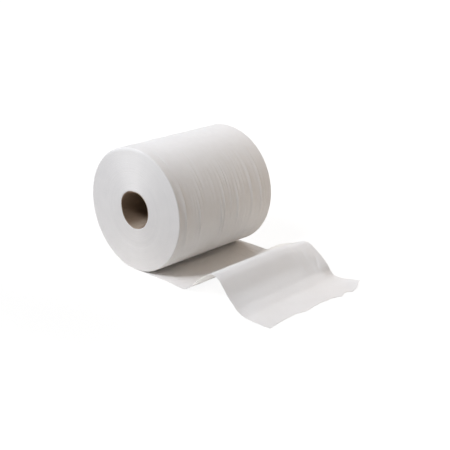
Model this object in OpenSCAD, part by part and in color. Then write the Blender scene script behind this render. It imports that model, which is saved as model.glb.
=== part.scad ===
// Paper wiper roll lying on its side, with a length of the web pulled out from under it.
// Frame: the origin is on the surface, below the middle of the roll. Y runs along the core,
// from the near end to the far one, X runs out along the loose end, and Z is up.

/* [Roll] */
// Outside diameter of the wound paper
roll_d = 190; // [150:5:300]
// Width of the paper web, which is the core's length too
web_w = 202; // [150:1:300]
// Thickness of the embossed two-ply web
web_t = 0.4; // [0.3:0.1:1]
// Width of the flat that the soft roll settles into where it rests
rest_flat_w = 24; // [12:1:40]

/* [Core] */
// Diameter of the hole through the cardboard core
core_bore_d = 58; // [38:1:76]
// Wall of the spiral-wound cardboard core
core_wall = 1.2; // [0.8:0.1:3]

/* [Loose end] */
// From the contact line to the foot of the fold, at the near edge
near_foot_x = 108; // [90:1:130]
// From the contact line to the foot of the fold, at the far edge
far_foot_x = 90; // [85:1:130]
// Length of surface that the fold spans at the near edge
near_fold_run = 130; // [100:1:160]
// Length of surface that the fold spans at the far edge
far_fold_run = 144; // [100:1:160]
// Height of the fold at the near edge
near_fold_h = 41; // [20:1:60]
// Height of the fold at the far edge
far_fold_h = 37.5; // [20:0.5:60]
// From the toe of the fold to the torn end
end_run = 44; // [30:1:90]
// Sideways drift of the torn end, because the web was pulled a little askew
end_drift = 20; // [0:1:30]
// How far the torn end wanders from a straight line
tear_wave = 5; // [0:0.5:8]
// How high the far corner of the torn end curls
corner_lift = 6; // [0:1:12]

/* [Hidden] */
$fn = 180;
through = 1;
core_od = core_bore_d + 2 * core_wall;
roll_r = roll_d / 2;
axis_z = sqrt(pow(roll_r, 2) - pow(rest_flat_w / 2, 2));
// Where the pulled web starts to drift sideways, past the part that the roll shades
drift_start_x = 55;
// The near section of the fold holds up to this share of the width, then turns into the far one
far_blend_start = 0.6;
columns_per_stretch = 4;
rows = 16;

// Side views of the fold, from its foot to its toe, as shares of its run and height
near_fold = [
    [0, 0], [0.08, 0.14], [0.145, 0.365], [0.23, 0.63], [0.355, 0.86], [0.47, 1],
    [0.565, 0.91], [0.645, 0.70], [0.725, 0.45], [0.81, 0.25], [0.89, 0.10], [1, 0]
];
far_fold = [
    [0, 0], [0.065, 0.13], [0.135, 0.33], [0.24, 0.52], [0.41, 0.76], [0.575, 1],
    [0.66, 0.935], [0.745, 0.77], [0.83, 0.57], [0.90, 0.36], [0.95, 0.13], [1, 0]
];

function clamped(t) = min(max(t, 0), 1);
function eased(t) = let (s = clamped(t)) s * s * (3 - 2 * s);
function mix(a, b, share) = a + (b - a) * share;

// A smooth curve through points, with t counted in points
function curve(points, t) =
    let (
        last = len(points) - 1,
        i = min(floor(t), last - 1),
        s = t - i,
        a = points[max(i - 1, 0)],
        b = points[i],
        c = points[i + 1],
        d = points[min(i + 2, last)]
    )
    0.5 * (2 * b + (c - a) * s + (2 * a - 5 * b + 4 * c - d) * pow(s, 2)
        + (3 * b - a - 3 * c + d) * pow(s, 3));

// One edge of the loose end in side view: flat, over the fold, and flat again to the torn end
function edge(foot, run, height, fold, corner) = concat(
    [[0, 0], [drift_start_x, 0]],
    [for (p = fold) [foot + p.x * run, p.y * height]],
    [[end_x, corner]]
);
end_x = max(near_foot_x + near_fold_run, far_foot_x + far_fold_run) + end_run;
near_edge = edge(near_foot_x, near_fold_run, near_fold_h, near_fold, 0);
far_edge = edge(far_foot_x, far_fold_run, far_fold_h, far_fold, corner_lift);
stretches = len(near_edge) - 1;
columns = stretches * columns_per_stretch;

// How the torn end wanders, from its near corner to its far one, as shares of tear_wave
tear_shape = [-0.2, -0.35, -0.85, -1, -0.35, 0.2, 0.05, 0.25, 0.2, 1.15, 0.6, 1.1, -0.4];
function tear(across) = tear_wave * curve(tear_shape, across * (len(tear_shape) - 1));
function drift(x) = end_drift * clamped((x - drift_start_x) / (end_x - drift_start_x));

// A point on the web's underside: t runs along the web, and across from 0 near to 1 far
function underside(t, across) =
    let (
        share = eased((across - far_blend_start) / (1 - far_blend_start)),
        side = mix(curve(near_edge, t), curve(far_edge, t), share),
        last_stretch = clamped(t - stretches + 1),
        x = side.x + tear(across) * pow(last_stretch, 2)
    )
    [x, (across - 0.5) * web_w - drift(x), max(side.y, 0)];

function facing(t, across) =
    let (
        step = 0.05,
        back = underside(max(t - step, 0), across),
        ahead = underside(min(t + step, stretches), across),
        near = underside(t, max(across - step, 0)),
        far = underside(t, min(across + step, 1)),
        n = cross(ahead - back, far - near)
    )
    n / norm(n);

module cardboard_core() {
    color("tan")
        translate([0, 0, axis_z])
            rotate([90, 0, 0])
                difference() {
                    cylinder(d = core_od, h = web_w, center = true);
                    cylinder(d = core_bore_d, h = web_w + 2 * through, center = true);
                }
}

module wound_turns() {
    intersection() {
        translate([0, 0, axis_z])
            rotate([90, 0, 0])
                cylinder(d = roll_d, h = web_w, center = true);
        translate([-roll_r - through, -web_w / 2 - through, 0])
            cube([roll_d + 2 * through, web_w + 2 * through, roll_d]);
    }
}

module loose_end() {
    grid = [for (i = [0 : columns]) for (j = [0 : rows]) [i / columns_per_stretch, j / rows]];
    below = [for (g = grid) underside(g[0], g[1])];
    above = [for (g = grid) underside(g[0], g[1]) + web_t * facing(g[0], g[1])];
    row = rows + 1;
    top = len(grid);
    under_faces = [
        for (i = [0 : columns - 1]) for (j = [0 : rows - 1])
            let (a = i * row + j) each [[a, a + row, a + 1], [a + 1, a + row, a + row + 1]]
    ];
    over_faces = [for (f = under_faces) [f[2] + top, f[1] + top, f[0] + top]];
    side_faces = [
        for (i = [0 : columns - 1])
            let (a = i * row, b = i * row + rows)
                each [[a, a + row + top, a + row], [a, a + top, a + row + top],
                    [b, b + row, b + row + top], [b, b + row + top, b + top]]
    ];
    end_faces = [
        for (j = [0 : rows - 1])
            let (a = j, b = columns * row + j)
                each [[a, a + 1, a + 1 + top], [a, a + 1 + top, a + top],
                    [b, b + 1 + top, b + 1], [b, b + top, b + 1 + top]]
    ];
    polyhedron(concat(below, above), concat(under_faces, over_faces, side_faces, end_faces));
}

module paper_web() {
    color("whitesmoke")
        difference() {
            union() {
                wound_turns();
                loose_end();
            }
            translate([0, 0, axis_z])
                rotate([90, 0, 0])
                    cylinder(d = core_od, h = web_w + 2 * through, center = true);
        }
}

cardboard_core();
paper_web();
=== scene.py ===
"""A roll of embossed paper wipes on its side, with its loose end pulled out over a soft fold."""

import math

import bpy
import numpy as np
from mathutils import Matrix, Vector


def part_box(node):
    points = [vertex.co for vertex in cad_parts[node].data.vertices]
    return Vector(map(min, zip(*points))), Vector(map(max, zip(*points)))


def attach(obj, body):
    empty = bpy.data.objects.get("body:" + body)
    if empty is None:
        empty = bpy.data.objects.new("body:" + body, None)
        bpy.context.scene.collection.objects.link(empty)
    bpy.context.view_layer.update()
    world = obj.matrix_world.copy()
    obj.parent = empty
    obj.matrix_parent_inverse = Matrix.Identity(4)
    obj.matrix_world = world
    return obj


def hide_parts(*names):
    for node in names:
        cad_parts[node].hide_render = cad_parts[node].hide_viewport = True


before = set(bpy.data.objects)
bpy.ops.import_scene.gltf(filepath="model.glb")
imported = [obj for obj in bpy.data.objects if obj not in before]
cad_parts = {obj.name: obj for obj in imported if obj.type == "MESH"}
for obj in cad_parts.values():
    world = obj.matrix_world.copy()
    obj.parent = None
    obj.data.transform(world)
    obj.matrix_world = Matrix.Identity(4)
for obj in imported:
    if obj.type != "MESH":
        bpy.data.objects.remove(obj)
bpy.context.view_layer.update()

# Shapes are in millimetres, and turn into metres where a mesh is made. Finishes, the floor, the camera
# and the lamps are in metres.
MM = 0.001
DEGREES_PER_RADIAN = 57.3
core_low, core_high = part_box("cardboard_core")
AXIS_Z = (core_low.z + core_high.z) / 2 / MM
CORE_R = (core_high.x - core_low.x) / 2 / MM
WEB_W = (core_high.y - core_low.y) / MM
BORE_R = 29.0
ROLL_R = 95.0
WEB_T = 0.4

# The ridges and, below zero, the hollows that winding left in the paper: place along the roll, its drift
# per degree upwards, half-width, height, the angle round the roll where it stands out most, and its spread.
# The heights were scaled until the ridges show in this light, so they may be taller than real ones.
RIDGES = (
    (-96.5, 0.00, 3.0, -0.65, 0, 34), (-86.1, -0.05, 1.4, -1.11, 62, 13), (-86.2, 0.00, 1.7, 1.38, 12, 20),
    (-83.0, -0.13, 1.7, 1.33, -22, 15), (-68.0, 0.00, 1.4, 0.31, 16, 16), (-62.5, -0.05, 1.3, 0.72, -4, 15),
    (-40.3, 0.00, 1.2, -0.42, 58, 9), (-47.2, -0.06, 1.0, 0.76, 40, 9), (-42.5, 0.00, 1.3, -0.50, 32, 10),
    (-52.0, -0.09, 1.1, 0.66, 22, 9), (-57.1, -0.10, 1.1, 1.50, 0, 14), (-30.5, 0.00, 1.2, 0.26, 28, 10),
    (-22.9, 0.00, 1.3, 0.42, 26, 10), (-10.8, -0.09, 1.3, 1.54, -8, 14), (-5.4, 0.00, 1.1, 1.07, 8, 16),
    (-3.5, -0.10, 1.3, 1.24, -20, 12), (4.2, 0.00, 1.0, 0.89, 32, 9), (7.4, 0.00, 1.0, -0.55, 30, 10),
    (10.4, 0.00, 1.2, 0.55, 5, 12), (18.8, 0.00, 1.1, 0.35, 36, 8), (24.4, 0.00, 1.2, 1.12, 0, 14),
    (31.8, 0.00, 1.2, 0.36, 28, 14), (39.8, 0.00, 1.2, 0.50, 16, 13), (52.0, -0.02, 1.5, -0.55, 12, 22),
    (56.8, -0.03, 1.6, 0.85, 12, 22), (77.4, -0.05, 1.8, 1.11, 10, 26), (84.5, 0.00, 1.6, 0.65, 0, 20),
    (-74.0, 0.02, 1.5, 0.31, 150, 26), (-30.0, -0.03, 1.4, 0.35, 176, 20), (12.0, 0.02, 1.3, 0.31, 158, 16),
    (46.0, 0.00, 1.5, 0.35, 190, 24), (70.0, 0.03, 1.6, 0.28, 140, 18), (-8.0, 0.05, 1.3, 0.28, 214, 14),
)
RIPPLE_PITCH = 7.5
RIPPLE_H = 0.14

# How the near end of the roll strays from a circle: angle, spread in degrees, and amount
NEAR_END_STRAYS = ((136, 20, 1.4), (93, 17, -1.4), (38, 20, 1.0), (-32, 20, -1.0), (-140, 25, -0.8))

# Side views of the loose end from below the roll to the torn end, at its near and far edges
NEAR_EDGE = (
    (-5, 0), (20, 0), (48, 0), (74, 0), (95, 0), (106, 0.4), (116.5, 4.4), (127.3, 12.1),
    (138.5, 23.2), (154.2, 34.4), (169.1, 41.0), (181.5, 37.3), (191.9, 28.7), (202.3, 18.5),
    (213.3, 10.3), (223.7, 4.1), (238, 0.3), (252, 0), (267, 0), (281.8, 0),
)
FAR_EDGE = (
    (-5, 0), (18, 0), (42, 0), (66, 0), (82, 0.1), (90, 0.8), (99.4, 4.9), (109.4, 12.4),
    (124.6, 19.5), (149, 28.5), (172.8, 37.3), (185, 35.1), (197.3, 28.9), (209.5, 21.4),
    (219.6, 13.5), (226.8, 4.9), (235, 0.5), (251, 0.6), (267, 3.2), (281.8, 6.1),
)
# Where the web has drifted sideways by how much, because it was pulled a little askew
DRIFT = (
    (-10, 0), (55, 0), (80, 1.6), (108, 4.9), (168, 9.2), (202, 13.2), (234, 17.0), (256, 19.6), (268, 20.3),
    (282, 19.8),
)
# How far the torn end stands out or back: share of the width from the near corner, and amount
TEAR = (
    (0, 1.4), (0.09, -0.6), (0.16, -2.1), (0.23, -2.4), (0.30, -2.3), (0.335, 0.4), (0.37, 2.2),
    (0.425, 1.1), (0.484, -0.4), (0.554, -0.6), (0.603, 0.6), (0.667, 1.7), (0.712, 3.9), (0.741, 7.4),
    (0.765, 6.4), (0.80, 3.2), (0.83, 3.4), (0.85, 8.0), (0.907, 7.5), (0.96, 3.5), (1, 0.2),
)
# How far the core's mouth strays from a circle, every 30 degrees from +X, upwards first
CORE_MOUTH = (0.9, 1.2, 0.2, -1.7, -0.9, -0.6, -2.1, -2.7, -2.3, -1.8, -0.9, 0.0)

# Lines that winding pressed into the loose end: distance from its near edge, half-width and height
PRESSED_LINES = (
    (4.5, 1.5, 0.35), (9.5, 1.5, 0.4), (15, 1.9, 0.5), (48, 2.0, 0.2), (96, 2.0, 0.25),
    (158, 2.4, 0.3), (178.5, 2.2, 0.45), (187, 1.8, 0.4), (193.5, 1.7, 0.4),
)
# Small creases high on the front of the fold: distance from the near edge, lean, half-width, depth,
# and the place along the web where each is deepest, with its spread
CREASES = (
    (152, 0.10, 2.2, 0.42, 186, 8), (163, 0.20, 2.4, 0.55, 184, 9), (174, -0.10, 2.2, 0.45, 190, 8),
    (187, -0.5, 2.4, 1.1, 210, 6),
)
# Heights over which the roll's outer turns and the loose end settle onto what they lie on
ROLL_SETTLE_H = 1.5
WEB_SETTLE_H = 0.6
# Rounding of the far rim, and how far the cardboard's seam moves along the core in one turn
FAR_RIM_R = 1.8
SEAM_LEAD = 128
# How far the outer turns flare at the near and far ends, on the +X side
NEAR_FLARE = 2.2
FAR_FLARE = 0.4


def curve(rows, where):
    """A smooth curve through the rows, at where, which counts rows."""
    rows = np.asarray(rows, float)
    last = len(rows) - 1
    i = np.clip(np.floor(where).astype(int), 0, last - 1)
    s = np.asarray(where - i)
    s = s.reshape(s.shape + (1,) * (rows.ndim - 1))
    a, b, c, d = (rows[np.clip(i + k, 0, last)] for k in (-1, 0, 1, 2))
    return 0.5 * (2 * b + (c - a) * s + (2 * a - 5 * b + 4 * c - d) * s**2 + (3 * b - a - 3 * c + d) * s**3)


def eased(t):
    t = np.clip(t, 0, 1)
    return t * t * (3 - 2 * t)


def bell(t, spread):
    return np.exp(-((t / spread) ** 2) / 2)


def turned(angle):
    """The same angle between -180 and 180 degrees."""
    return (angle + 180) % 360 - 180


def read_off(rows, where):
    """The second number of the rows where their first is at where, in straight stretches."""
    places, amounts = np.transpose(rows)
    return np.interp(where, places, amounts)


def unevenness(along, across, size, seed):
    """Soft bumps about size across, roughly from -1 to 1, alike in every run."""
    count = 64
    smoothing_loss = 2.2
    heights = np.random.default_rng(seed).uniform(-1, 1, (count, count))
    u, v = np.broadcast_arrays(np.asarray(along) / size, np.asarray(across) / size)
    first_u, first_v = np.floor(u).astype(int), np.floor(v).astype(int)

    def weights(t):
        rising, falling = (-3 * t**3 + 3 * t**2 + 3 * t + 1) / 6, (3 * t**3 - 6 * t**2 + 4) / 6
        return (1 - t) ** 3 / 6, falling, rising, t**3 / 6

    total = np.zeros(u.shape)
    for i, weight_u in enumerate(weights(u - first_u)):
        for j, weight_v in enumerate(weights(v - first_v)):
            total += weight_u * weight_v * heights[(first_u + i) % count, (first_v + j) % count]
    return smoothing_loss * total


def add_object(name, data):
    made = bpy.data.objects.new(name, data)
    bpy.context.scene.collection.objects.link(made)
    return made


def mesh_of_grid(name, points, uv, wrap_rows, caps=False, slots=None):
    """A closed mesh from rows of points, where each row is a loop.

    With wrap_rows the last row joins the first, and with caps the first and last rows are filled in.
    The functions uv and slots give each face's places on the web and its material.
    """
    count, per_row = points.shape[:2]
    verts = points.reshape(-1, 3) * MM
    i = np.arange(count if wrap_rows else count - 1)[:, None]
    j = np.arange(per_row)[None, :]
    i_next, j_next = (i + 1) % count, (j + 1) % per_row
    a, b, c, d = (np.broadcast_to(x, (len(i), per_row)) for x in (
        i * per_row + j, i * per_row + j_next, i_next * per_row + j_next, i_next * per_row + j))
    faces = np.stack([a, b, c, d], -1).reshape(-1, 4)
    corner_rows = np.stack([np.broadcast_to(x, a.shape) for x in (i, i, i + 1, i + 1)], -1).reshape(-1, 4)
    corner_places = np.stack([np.broadcast_to(x, a.shape) for x in (j, j + 1, j + 1, j)], -1).reshape(-1, 4)
    if caps:
        half = per_row // 2
        k = np.arange(half - 1)
        start = np.stack([k, k + 1, per_row - 2 - k, per_row - 1 - k], -1)[:, ::-1]
        end = start[:, ::-1] + (count - 1) * per_row
        for cap, row in ((start, 0), (end, count - 1)):
            faces = np.concatenate([faces, cap])
            corner_rows = np.concatenate([corner_rows, np.full(cap.shape, row)])
            corner_places = np.concatenate([corner_places, cap - row * per_row])
    mesh = bpy.data.meshes.new(name)
    mesh.from_pydata(verts, [], faces)
    layer = mesh.uv_layers.new(name="web")
    layer.uv.foreach_set("vector", (uv(corner_rows, corner_places) * MM).astype(np.float32).ravel())
    if slots is not None:
        mesh.polygons.foreach_set("material_index", slots(corner_places).astype(np.int32))
    mesh.shade_smooth()
    mesh.validate()
    return add_object(name, mesh)


def core_stray(angle, depth):
    """How far the core's wall stands outside or inside a circle, which fades with depth into the roll."""
    ring = CORE_MOUTH[-1:] + CORE_MOUTH + CORE_MOUTH[:3]
    return curve(ring, np.asarray(angle % 360) / 30 + 1) * np.exp(-np.maximum(depth, 0) / 24)


def wound_side(angle, y):
    """Radius of the outermost turn."""
    radius = np.full(np.broadcast(angle, y).shape, ROLL_R)
    for place, slant, half_width, height, at, spread in RIDGES:
        from_at = turned(angle - at)
        wander = 0.4 * unevenness(angle, 0 * y + place, 14, 3)
        lean = slant * np.clip(from_at, -2 * spread, 2 * spread)
        radius = radius + height * bell(from_at, spread) * bell(y - place - lean - wander, half_width)
    ripple = np.cos((y - 1.2 - 0.4 * unevenness(angle, 0 * y, 20, 4)) / RIPPLE_PITCH * 2 * math.pi)
    ripple_share = (0.25 + 0.75 * bell(y - 25, 22)) * (0.3 + 0.7 * bell(turned(angle - 15), 30))
    radius = radius + RIPPLE_H * ripple * ripple_share
    arc = np.radians(angle) * ROLL_R
    streaks = 0.08 * unevenness(arc / 9, y, 2.2, 7) + 0.09 * unevenness(arc / 8, y, 4.5, 5)
    radius = radius + streaks * (0.45 + 0.55 * bell(turned(angle - 10), 40))
    radius = radius + 0.035 * unevenness(arc / 2, y, 3.5, 6)
    from_near_end = np.maximum(y + WEB_W / 2, 0)
    from_far_end = np.maximum(WEB_W / 2 - y, 0)
    near = np.exp(-from_near_end / 26)
    for at, spread, amount in NEAR_END_STRAYS:
        radius = radius + amount * bell(turned(angle - at), spread) * near
    radius = radius + NEAR_FLARE * bell(turned(angle - 3), 32) * np.exp(-from_near_end / 8)
    return radius + FAR_FLARE * bell(turned(angle - 10), 50) * np.exp(-from_far_end / 16)


def rim_softness(angle):
    """Radius of the rounding at the near rim, where the outer turns have slumped a little."""
    return 1.6 + 2.6 * bell(turned(angle - 103), 24)


def end_relief(angle, r, seed):
    """How far the paper's wound edges stand out of the roll's end."""
    arc = angle / DEGREES_PER_RADIAN * r
    rings = 0.025 * unevenness(r, 0.03 * arc + 11, 6, seed)
    rings = rings + 0.012 * unevenness(r, 0.02 * arc + 5, 2.6, seed + 1)
    slump = -0.12 * eased((38 - r) / 8)
    return rings + 0.07 * unevenness(arc, r, 24, seed + 2) + slump


def make_wound_roll():
    around, across_end, across_rim, along = 208, 34, 7, 370
    angle = -90 + 360 * np.arange(around)[:, None] / around
    half = WEB_W / 2
    rise = np.linspace(0, 1, across_end)[None, :]
    bend = np.linspace(0, math.pi / 2, across_rim + 2)[None, 1:-1]
    run = np.linspace(0, 1, along)[None, :]

    near_soft, far_soft = rim_softness(angle), FAR_RIM_R + 0 * angle
    rim_near = wound_side(angle, -half + near_soft)
    rim_far = wound_side(angle, half - far_soft)
    hole_near, hole_far = CORE_R + core_stray(angle, 0), CORE_R + 0 * angle

    r_near = hole_near + (rim_near - near_soft - hole_near) * rise
    y_near = -half - end_relief(angle, r_near, 20) * eased((rim_near - r_near) / 6)
    r_bend = rim_near - near_soft + near_soft * np.sin(bend)
    y_bend = -half + near_soft - near_soft * np.cos(bend)
    y_side = (-half + near_soft) + (2 * half - near_soft - far_soft) * run
    r_side = wound_side(angle, y_side)
    r_turn = rim_far - far_soft + far_soft * np.cos(bend)
    y_turn = half - far_soft + far_soft * np.sin(bend)
    r_far = (hole_far + (rim_far - far_soft - hole_far) * rise)[:, ::-1]
    y_far = half + end_relief(angle, r_far, 30) * eased((rim_far - r_far) / 6)
    y_bore = np.broadcast_to(np.array([[half - 30, -half + 30, -half + 12, -half + 5]]), (around, 4))
    r_bore = CORE_R + core_stray(angle, y_bore + half)

    r = np.concatenate([r_near, r_bend, r_side, r_turn, r_far, r_bore], 1)
    y = np.concatenate([y_near, y_bend, y_side, y_turn, y_far, y_bore], 1)
    turn = np.radians(angle)
    x, z = r * np.cos(turn), AXIS_Z + r * np.sin(turn)
    ground = WEB_T * eased((x + 3) / 4)
    pressed = ground + ROLL_SETTLE_H * np.exp((z - ground) / ROLL_SETTLE_H - 1)
    z = np.where(z < ground + ROLL_SETTLE_H, pressed, z)
    z = np.maximum(z, ground)
    side_start, side_end = across_end + across_rim - 1, across_end + across_rim + along

    def web(rows, places):
        place = places % r.shape[1]
        return np.stack([rows / around * 2 * math.pi * ROLL_R, y[0][place]], -1)

    def finish(places):
        place = places.min(1)
        return np.where((place >= side_start) & (place < side_end), 0, 1)

    return mesh_of_grid("wound_roll", np.stack([x, y, z], -1)[::-1], web, True, slots=finish)


def loose_end_surface(t, across):
    """Underside of the loose end: t runs from 0 under the roll to 1 at the tear, across from near to far."""
    where = t * (len(NEAR_EDGE) - 1)
    toe = eased((t - 0.58) / 0.24)
    share = ((1 - toe) * eased((across - 0.6) / 0.4) + toe * eased((across - 0.84) / 0.16))[..., None]
    side = curve(NEAR_EDGE, where) * (1 - share) + curve(FAR_EDGE, where) * share
    x, z = side[..., 0], side[..., 1]
    last = eased((t - 0.86) / 0.14)
    from_near = across * WEB_W
    ragged = 0.25 * unevenness(from_near, 0 * across, 5, 40)
    ragged = ragged + 0.2 * unevenness(from_near, 0 * across, 2.2, 41)
    x = x + (read_off(TEAR, across) + ragged) * last
    y = (across - 0.5) * WEB_W - read_off(DRIFT, x)
    return x, y, z


def make_loose_end():
    along, across_count = 300, 150
    t = np.linspace(0, 1, along)[:, None]
    across = np.linspace(0, 1, across_count)[None, :]
    t, across = np.broadcast_arrays(t, across)
    x, y, z = loose_end_surface(t, across)

    from_near = across * WEB_W
    clear_of_roll = eased((x - 8) / 25)
    lines = sum(height * bell(from_near - place, width) for place, width, height in PRESSED_LINES)
    lines = lines + 0.05 * np.cos(from_near / RIPPLE_PITCH * 2 * math.pi) * eased((from_near - 90) / 30)
    lines = lines * (1 - 0.8 * eased((x - 120) / 40))
    fold = eased((x - 92) / 40) * (1 - eased((x - 225) / 25))
    waves = 0.45 * unevenness(x, from_near, 34, 42) * fold
    waves = waves + 0.12 * unevenness(x, from_near, 11, 43) * (0.3 + fold)
    end = eased((x - 228) / 20)
    waves = waves + 0.9 * unevenness(x, from_near, 26, 44) ** 2 * end
    away_from_edges = eased(from_near / 35) * (1 - eased((from_near - 180) / 18))
    waves = waves + 2.6 * bell(x - 228, 13) * away_from_edges
    crumpled = bell(from_near - 160, 26) * bell(x - 194, 20)
    waves = waves + 0.3 * unevenness(0.5 * x, from_near + 0.2 * x, 5, 45) * crumpled
    creases = np.zeros(x.shape)
    for place, lean, width, depth, at, spread in CREASES:
        from_crease = from_near - place - lean * (x - at)
        creases = creases - depth * bell(from_crease, width) * bell(x - at, spread)
    z = z + (lines * clear_of_roll + waves + creases)
    above = np.maximum(z - WEB_SETTLE_H, 0)
    pressed = WEB_SETTLE_H * np.exp(np.minimum(z, WEB_SETTLE_H) / WEB_SETTLE_H - 1)
    settled = np.where(z < WEB_SETTLE_H, pressed, z)
    z = np.maximum(settled - WEB_SETTLE_H / math.e * np.exp(-above / 4), 0)

    under = np.stack([x, y, z], -1)
    slope_t, slope_v = np.gradient(under, axis=0), np.gradient(under, axis=1)
    facing = np.cross(slope_t, slope_v)
    facing /= np.linalg.norm(facing, axis=-1, keepdims=True)
    over = under + WEB_T * facing
    loops = np.concatenate([over, under[:, ::-1]], 1)
    steps = np.linalg.norm(np.diff(under[:, across_count // 2], axis=0), axis=1)
    length = np.concatenate([[0], np.cumsum(steps)])

    def web(rows, places):
        place = places % (2 * across_count)
        place = np.where(place < across_count, place, 2 * across_count - 1 - place)
        return np.stack([length[rows], place / (across_count - 1) * WEB_W - WEB_W / 2], -1)

    web_end = mesh_of_grid("loose_end", loops, web, False, caps=True)
    web_end.data.set_sharp_from_angle(angle=math.radians(50))
    return web_end, float(length[-1])


def make_core_tube():
    around, along = 160, 130
    angle = -90 + 360 * np.arange(around)[:, None] / around
    half = WEB_W / 2
    depth = (WEB_W * np.linspace(0, 1, along) ** 1.4)[None, :]
    seam = turned(angle - depth / SEAM_LEAD * 360 - 200)
    inner = BORE_R + core_stray(angle, depth) + 0.16 * bell(seam, 1.6)
    inner = inner - 0.10 * eased((seam + 12) / 12) * (seam < 0)
    inner = inner + 0.10 * unevenness(angle / 8, depth / 10, 1, 50)
    y_inner = -half + depth + 0 * angle
    lip = 0.35 * unevenness(angle / 14, 0 * angle, 1, 51)
    y_inner = y_inner + lip * np.exp(-depth / 3)
    outer_depth = np.array([[WEB_W, WEB_W - 8, 60, 20, 8, 0]])
    outer = CORE_R + core_stray(angle, outer_depth)
    y_outer = -half + outer_depth + lip * np.exp(-outer_depth / 3)
    mid_near = (inner[:, :1] + outer[:, -1:]) / 2
    mid_far = (inner[:, -1:] + outer[:, :1]) / 2
    r = np.concatenate([inner, mid_far, outer, mid_near], 1)
    y = np.concatenate([y_inner, y_inner[:, -1:] + 0.2, y_outer, y_inner[:, :1] - 0.25], 1)
    turn = np.radians(angle)
    points = np.stack([r * np.cos(turn), y, AXIS_Z + r * np.sin(turn)], -1)

    def web(rows, places):
        return np.stack([rows / around * 2 * math.pi * CORE_R, y[0][places % r.shape[1]]], -1)

    tube = mesh_of_grid("core_tube", points, web, True)
    tube.data.set_sharp_from_angle(angle=math.radians(60))
    return tube


class Value:
    """A number that changes over a surface. Arithmetic on it adds Math nodes."""

    def __init__(self, finish, socket):
        self.finish = finish
        self.socket = socket

    def __add__(self, other):
        return self.finish.maths("ADD", self, other)

    def __sub__(self, other):
        return self.finish.maths("SUBTRACT", self, other)

    def __rsub__(self, other):
        return self.finish.maths("SUBTRACT", other, self)

    def __mul__(self, other):
        return self.finish.maths("MULTIPLY", self, other)

    def __pow__(self, other):
        return self.finish.maths("POWER", self, other)

    __radd__ = __add__
    __rmul__ = __mul__


class Finish:
    """The nodes of one finish, in a material's or the world's node tree."""

    def __init__(self, tree):
        self.tree = tree
        self.tree.nodes.clear()

    def node(self, kind, settings, sockets):
        """Adds a node: its settings first, then the values or links of its sockets, by name or number."""
        made = self.tree.nodes.new(kind)
        for key, value in settings.items():
            if key == "stops":
                elements = made.color_ramp.elements
                while len(elements) < len(value):
                    elements.new(0.5)
                for element, (place, colour) in zip(elements, value):
                    element.position = place
                    element.color = (*colour, 1) if len(colour) == 3 else colour
            else:
                setattr(made, key, value)
        for key, value in sockets.items():
            if isinstance(value, Value):
                value = value.socket
            if isinstance(value, bpy.types.NodeSocket):
                self.tree.links.new(value, made.inputs[key])
            else:
                made.inputs[key].default_value = value
        return made

    def value(self, kind, settings, sockets, output=0):
        return Value(self, self.node(kind, settings, sockets).outputs[output])

    def maths(self, operation, *values):
        return self.value("ShaderNodeMath", {"operation": operation}, dict(enumerate(values)))

    def noise(self, place, scale, detail=3.0, roughness=0.5, distortion=0.0):
        return self.value("ShaderNodeTexNoise", {}, {
            "Vector": place, "Scale": scale, "Detail": detail,
            "Roughness": roughness, "Distortion": distortion,
        })

    def ramp(self, value, start, end, at_start, at_end, interpolation="LINEAR"):
        """A number that goes from at_start to at_end as value goes from start to end."""
        settings = {"interpolation_type": interpolation}
        sockets = {0: value, 1: start, 2: end, 3: at_start, 4: at_end}
        return self.value("ShaderNodeMapRange", settings, sockets)

    def place(self):
        return self.node("ShaderNodeTexCoord", {}, {}).outputs["Object"]

    def parts(self, vector):
        """The x, y and z of a vector."""
        outputs = self.node("ShaderNodeSeparateXYZ", {}, {0: vector}).outputs
        return [Value(self, output) for output in outputs]

    def length(self, vector):
        return self.value("ShaderNodeVectorMath", {"operation": "LENGTH"}, {0: vector}, "Value")

    def clamped(self, value):
        return self.value("ShaderNodeClamp", {}, {0: value})

    def looked_at(self):
        """1 for rays from the camera, mirrored or passing through, and 0 for the light on other things."""
        rays = self.node("ShaderNodeLightPath", {}, {})
        seen = self.maths("MAXIMUM", rays.outputs["Is Camera Ray"], rays.outputs["Is Glossy Ray"])
        return self.maths("MAXIMUM", seen, rays.outputs["Is Transmission Ray"])

    def vector(self, operation, *values):
        return self.node("ShaderNodeVectorMath", {"operation": operation}, dict(enumerate(values))).outputs[0]

    def blend(self, share, first, second):
        made = self.node("ShaderNodeMix", {"data_type": "RGBA"}, {0: share, 6: first, 7: second})
        return made.outputs[2]

    def bump(self, height, distance, strength, under=None):
        sockets = {"Height": height, "Distance": distance, "Strength": strength}
        if under is not None:
            sockets["Normal"] = under
        return self.node("ShaderNodeBump", {}, sockets).outputs[0]

    def surface(self, sockets, sheer=None):
        """The finish's shader. Sheer is the share of the light that passes through a thin sheet."""
        shader = self.node("ShaderNodeBsdfPrincipled", {}, sockets)
        if sheer is not None:
            glow = self.node("ShaderNodeBsdfTranslucent", {}, {0: LIGHT_THROUGH_PAPER})
            sockets = {0: sheer, 1: shader.outputs[0], 2: glow.outputs[0]}
            shader = self.node("ShaderNodeMixShader", {}, sockets)
        self.node("ShaderNodeOutputMaterial", {}, {"Surface": shader.outputs[0]})


def new_material(name):
    material = bpy.data.materials.new(name)
    material.use_nodes = True
    return material, Finish(material.node_tree)


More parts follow.
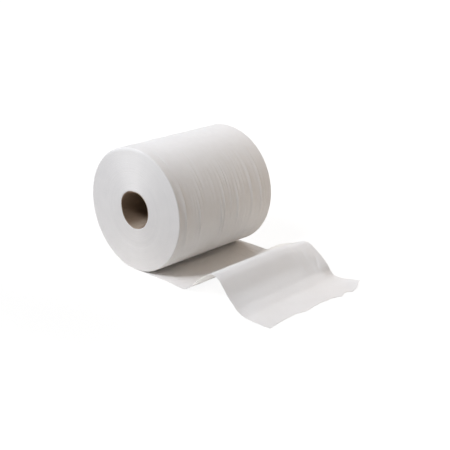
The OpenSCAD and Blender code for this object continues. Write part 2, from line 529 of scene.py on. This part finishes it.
EMBOSS_PITCH = 0.0021
WHITE_PAPER = (0.885, 0.872, 0.857, 1)
SHADED_FIBRE = (0.825, 0.805, 0.785, 1)
PAINTED_LIGHT_RAISED_PAPER = (0.912, 0.905, 0.898, 1)
LIGHT_THROUGH_PAPER = (0.98, 0.965, 0.94, 1)
WHITE_EDGE = (0.975, 0.95, 0.925, 1)
SHADED_EDGE = (0.72, 0.702, 0.692, 1)
DARK_PULP = (0.215, 0.148, 0.10, 1)
PALE_PULP = (0.31, 0.227, 0.162, 1)
PULP_FLECK = (0.17, 0.12, 0.08, 1)
PAINTED_BORE_LIGHT = (0.49, 0.40, 0.315, 1)
FLOOR_DARKER = (0.88, 0.845, 0.80, 1)
FLOOR_LIGHTER = (0.90, 0.865, 0.82, 1)
FLOOR_IN_SHADE = (0.38, 0.37, 0.35, 1)


def embossed_paper(name, single=False):
    """The paper's face. Where a single thickness of it is off the floor, light shines through."""
    material, paper = new_material(name)
    web = paper.node("ShaderNodeUVMap", {"uv_map": "web"}, {}).outputs[0]
    place = paper.place()
    along, across, _ = paper.parts(web)
    pitch = 2 * math.pi / EMBOSS_PITCH
    waver = paper.noise(web, 160, 1.0) * 0.0012
    one_way = paper.maths("COSINE", (along + across + waver) * pitch * 0.7)
    other_way = paper.maths("COSINE", (along - across + waver) * pitch * 0.7)
    dots = one_way * other_way
    streak_place = paper.node("ShaderNodeMapping", {}, {"Vector": web, "Scale": (0.12, 1.0, 1.0)}).outputs[0]
    streaks = paper.noise(streak_place, 420, 3.0, 0.6)
    fibres = paper.noise(web, 1500, 3.0, 0.65, 0.8)
    clouds = paper.noise(place, 95, 3.0, 0.55)
    tone = clouds * 0.55 + fibres * 0.3 + streaks * 0.15
    forwards, _, height_off = paper.parts(place)
    if single:
        # Painted shade: from x = 100 mm to 200 mm the loose end's paper turns darker, over the fold's front
        # and the flat torn end
        painted_shade = paper.ramp(forwards, 0.10, 0.20, 0.0, 0.45)
    else:
        # Painted shade: the roll's side turns darker over the 41 mm next to its near rim
        near_rim = -WEB_W / 2 * MM
        painted_shade = paper.ramp(across, near_rim, near_rim + 0.041, 0.8, 0.0)
    share = (tone - 0.5) * 1.4 + 0.22 + dots * -0.06 + painted_shade
    colour = paper.blend(paper.clamped(share), WHITE_PAPER, SHADED_FIBRE)
    sheer = None
    if single:
        # Painted light and shade: the loose end's paper is coloured lighter where it is raised off the floor
        # and darker where it lies on it
        off_floor = paper.ramp(height_off, 0.001, 0.012, 0.0, 1.0)
        colour = paper.blend(off_floor, paper.blend(0.45, colour, SHADED_FIBRE), PAINTED_LIGHT_RAISED_PAPER)
        sheer = off_floor * paper.ramp(forwards, 0.140, 0.168, 0.48, 0.08)
    height = dots * 0.5 + streaks * 0.7 + fibres * 0.5
    normal = paper.bump(height, 0.00022, 0.55)
    soft = paper.noise(web, 150, 2.0, 0.5)
    normal = paper.bump(soft, 0.0008, 0.35, normal)
    paper.surface({
        "Base Color": colour, "Roughness": fibres * 0.12 + 0.82, "Normal": normal,
        "Specular IOR Level": 0.25, "Sheen Weight": 0.12, "Sheen Roughness": 0.6,
    }, sheer)
    return material


def wound_edges():
    """The ends of the roll. Normals lean outwards or inwards from ring to ring, as plies' edges do."""
    material, paper = new_material("wound_edges")
    place = paper.place()
    flat = paper.vector("MULTIPLY", paper.vector("SUBTRACT", place, (0, 0, AXIS_Z * MM)), (1, 0, 1))
    radius = paper.length(flat)
    outwards = paper.vector("NORMALIZE", flat)
    upright = paper.parts(outwards)[2]
    waver = paper.noise(place, 14, 2.0) * 0.0009
    ringed = paper.node("ShaderNodeCombineXYZ", {}, {0: radius + waver}).outputs[0]
    turns = paper.noise(ringed, 620, 4.0, 0.7)
    bands = paper.noise(ringed, 110, 2.0, 0.5)
    fluff = paper.noise(place, 900, 4.0, 0.65)
    clouds = paper.noise(place, 60, 3.0, 0.55)
    # Painted highlight: lighter fans of colour above and below the core, where the ring edges would catch
    # light from above
    painted_fan_highlight = paper.maths("ABSOLUTE", upright) ** 5 * (upright * 0.25 + 0.75)
    tone = turns * 0.35 + bands * 0.2 + fluff * 0.25 + clouds * 0.2
    facing = paper.node("ShaderNodeNewGeometry", {}, {}).outputs["Normal"]
    endwards = paper.parts(facing)[1]
    # Painted shade: the rounded rim is coloured darker where its surface turns away from the end
    rim = 1 - paper.maths("ABSOLUTE", endwards)
    share = (tone - 0.5) * 1.2 + 0.62 - painted_fan_highlight * 0.6 + rim * 0.4
    colour = paper.blend(paper.clamped(share), WHITE_EDGE, SHADED_EDGE)
    plies = paper.noise(ringed, 2300, 1.0)
    tilt = (plies - 0.5) * 2.6 + (bands - 0.5) * 0.25 + 0.15
    leaning = paper.node("ShaderNodeVectorMath", {"operation": "SCALE"}, {0: outwards, 3: tilt}).outputs[0]
    normal = paper.vector("NORMALIZE", paper.vector("ADD", facing, leaning))
    normal = paper.bump(fluff + clouds * 0.5, 0.0004, 0.4, normal)
    paper.surface({
        "Base Color": colour, "Roughness": fluff * 0.1 + 0.6, "Normal": normal,
        "Specular IOR Level": 0.5, "Sheen Weight": 0.12, "Sheen Roughness": 0.7,
    })
    return material


def spiral_cardboard():
    material, board = new_material("spiral_cardboard")
    place = board.place()
    stretched = board.node("ShaderNodeMapping", {}, {"Vector": place, "Scale": (1.0, 0.35, 1.0)}).outputs[0]
    pulp = board.noise(stretched, 260, 5.0, 0.65, 0.4)
    flecks = board.noise(place, 1400, 3.0, 0.7)
    clouds = board.noise(place, 45, 2.0, 0.5)
    share = board.clamped(pulp * 0.7 + clouds * 0.5 - 0.1)
    colour = board.blend(share, DARK_PULP, PALE_PULP)
    spots = board.value("ShaderNodeValToRGB", {"stops": ((0.30, (1, 1, 1)), (0.38, (0, 0, 0)))}, {0: flecks})
    colour = board.blend(spots * 0.5, colour, PULP_FLECK)
    # Painted light: the bore's wall is coloured paler towards its bottom, where light falls in through the
    # mouth
    upright = board.parts(place)[2]
    painted_light_top, painted_light_bottom = (AXIS_Z - 0.72 * BORE_R) * MM, (AXIS_Z - BORE_R) * MM
    painted_bore_light = board.ramp(upright, painted_light_top, painted_light_bottom, 0.0, 1.0, "SMOOTHSTEP")
    colour = board.blend(painted_bore_light * (pulp * 0.6 + 0.5), colour, PAINTED_BORE_LIGHT)
    normal = board.bump(pulp + flecks * 0.4, 0.0004, 0.5)
    board.surface({
        "Base Color": colour, "Roughness": pulp * 0.15 + 0.75, "Normal": normal, "Specular IOR Level": 0.3,
    })
    return material


def pale_floor():
    """A pale floor that glows white to the camera away from the roll, and takes its shadow nearby."""
    material, floor = new_material("pale_floor")
    place = floor.place()
    apart = floor.ramp(floor.length(place), 0.2, 0.6, 0.86, 1.0, "SMOOTHSTEP")
    grain = floor.noise(place, 30, 2.0)
    colour = floor.blend(grain, FLOOR_DARKER, FLOOR_LIGHTER)
    # Painted shade: the floor in front of the roll's near end is coloured darker, so it throws less light
    # back onto the roll
    farwards = floor.parts(place)[1]
    painted_floor_shade = floor.ramp(farwards, -0.13, -0.36, 0.0, 1.0, "SMOOTHSTEP")
    colour = floor.blend(painted_floor_shade, colour, FLOOR_IN_SHADE)
    lit = floor.node("ShaderNodeBsdfPrincipled", {}, {
        "Base Color": colour, "Roughness": 0.9, "Specular IOR Level": 0.1,
    })
    glow = floor.node("ShaderNodeEmission", {}, {"Color": (1, 1, 1, 1), "Strength": 1.07})
    mixed = floor.node("ShaderNodeMixShader", {}, {
        0: floor.looked_at() * apart, 1: lit.outputs[0], 2: glow.outputs[0],
    })
    floor.node("ShaderNodeOutputMaterial", {}, {"Surface": mixed.outputs[0]})
    return material


def make_floor():
    mesh = bpy.data.meshes.new("floor")
    reach = 9.0
    drop = -0.0002
    corners = [(-reach, -reach, drop), (reach, -reach, drop), (reach, reach, drop), (-reach, reach, drop)]
    mesh.from_pydata(corners, [], [(0, 1, 2, 3)])
    mesh.materials.append(pale_floor())
    add_object("floor", mesh)


def make_camera():
    """The photograph's camera, solved from the roll's outlines."""
    data = bpy.data.cameras.new("camera")
    data.sensor_width = 36.0
    data.lens = 75.25
    camera = add_object("camera", data)
    camera.location = (1.0008, -0.9765, 0.5310)
    camera.rotation_euler = (math.radians(90 - 19.17), 0, math.radians(43.0))
    bpy.context.scene.camera = camera


def make_lamp(name, azimuth, height, distance, size, power, colour):
    """A soft lamp aimed at the roll. Azimuth 0 is at +X and 90 at +Y. Both angles are in degrees."""
    data = bpy.data.lights.new(name, "AREA")
    data.shape = "DISK"
    data.size = size
    data.energy = power
    data.color = colour
    lamp = add_object(name, data)
    turn, rise = math.radians(azimuth), math.radians(height)
    aim = Vector((0.08, 0.0, 0.07))
    way = Vector((math.cos(turn) * math.cos(rise), math.sin(turn) * math.cos(rise), math.sin(rise)))
    lamp.location = aim + way * distance
    lamp.rotation_mode = "QUATERNION"
    lamp.rotation_quaternion = way.to_track_quat("Z", "Y")


def make_light():
    # Each lamp's name, azimuth, height, distance, size, power and colour
    for lamp in (
        ("near_end_softbox", 267, 52, 4.0, 1.1, 90.5, (0.915, 0.945, 1.0)),
        ("near_left_lamp", 225, 48, 1.6, 0.9, 7.4, (0.90, 0.93, 1.0)),
        ("back_softbox", 128, 38, 2.2, 1.2, 16.6, (0.94, 0.96, 1.0)),
        ("far_low_fill", 62, 28, 0.95, 0.6, 2.1, (1.0, 0.81, 0.64)),
    ):
        make_lamp(*lamp)
    world = bpy.data.worlds.new("studio")
    bpy.context.scene.world = world
    world.use_nodes = True
    studio = Finish(world.node_tree)
    room = studio.node("ShaderNodeBackground", {}, {"Color": (1.0, 0.93, 0.86, 1), "Strength": 0.085})
    white = studio.node("ShaderNodeBackground", {}, {"Color": (1, 1, 1, 1), "Strength": 1.0})
    mixed = studio.node("ShaderNodeMixShader", {}, {
        0: studio.looked_at(), 1: room.outputs[0], 2: white.outputs[0],
    })
    studio.node("ShaderNodeOutputWorld", {}, {"Surface": mixed.outputs[0]})


make_camera()
make_light()
make_floor()
bpy.context.scene.view_settings.view_transform = "Standard"

paper, thin_paper = embossed_paper("embossed_paper"), embossed_paper("thin_embossed_paper", single=True)
edges, board = wound_edges(), spiral_cardboard()

roll = make_wound_roll()
roll.data.materials.append(paper)
roll.data.materials.append(edges)
web_end, flat_length = make_loose_end()
web_end.data.materials.append(thin_paper)
tube = make_core_tube()
tube.data.materials.append(board)

for piece, node, finish in (
    (roll, "paper_web", "paper"), (web_end, "paper_web", "paper"), (tube, "cardboard_core", "cardboard"),
):
    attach(piece, "root")
    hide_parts(node)
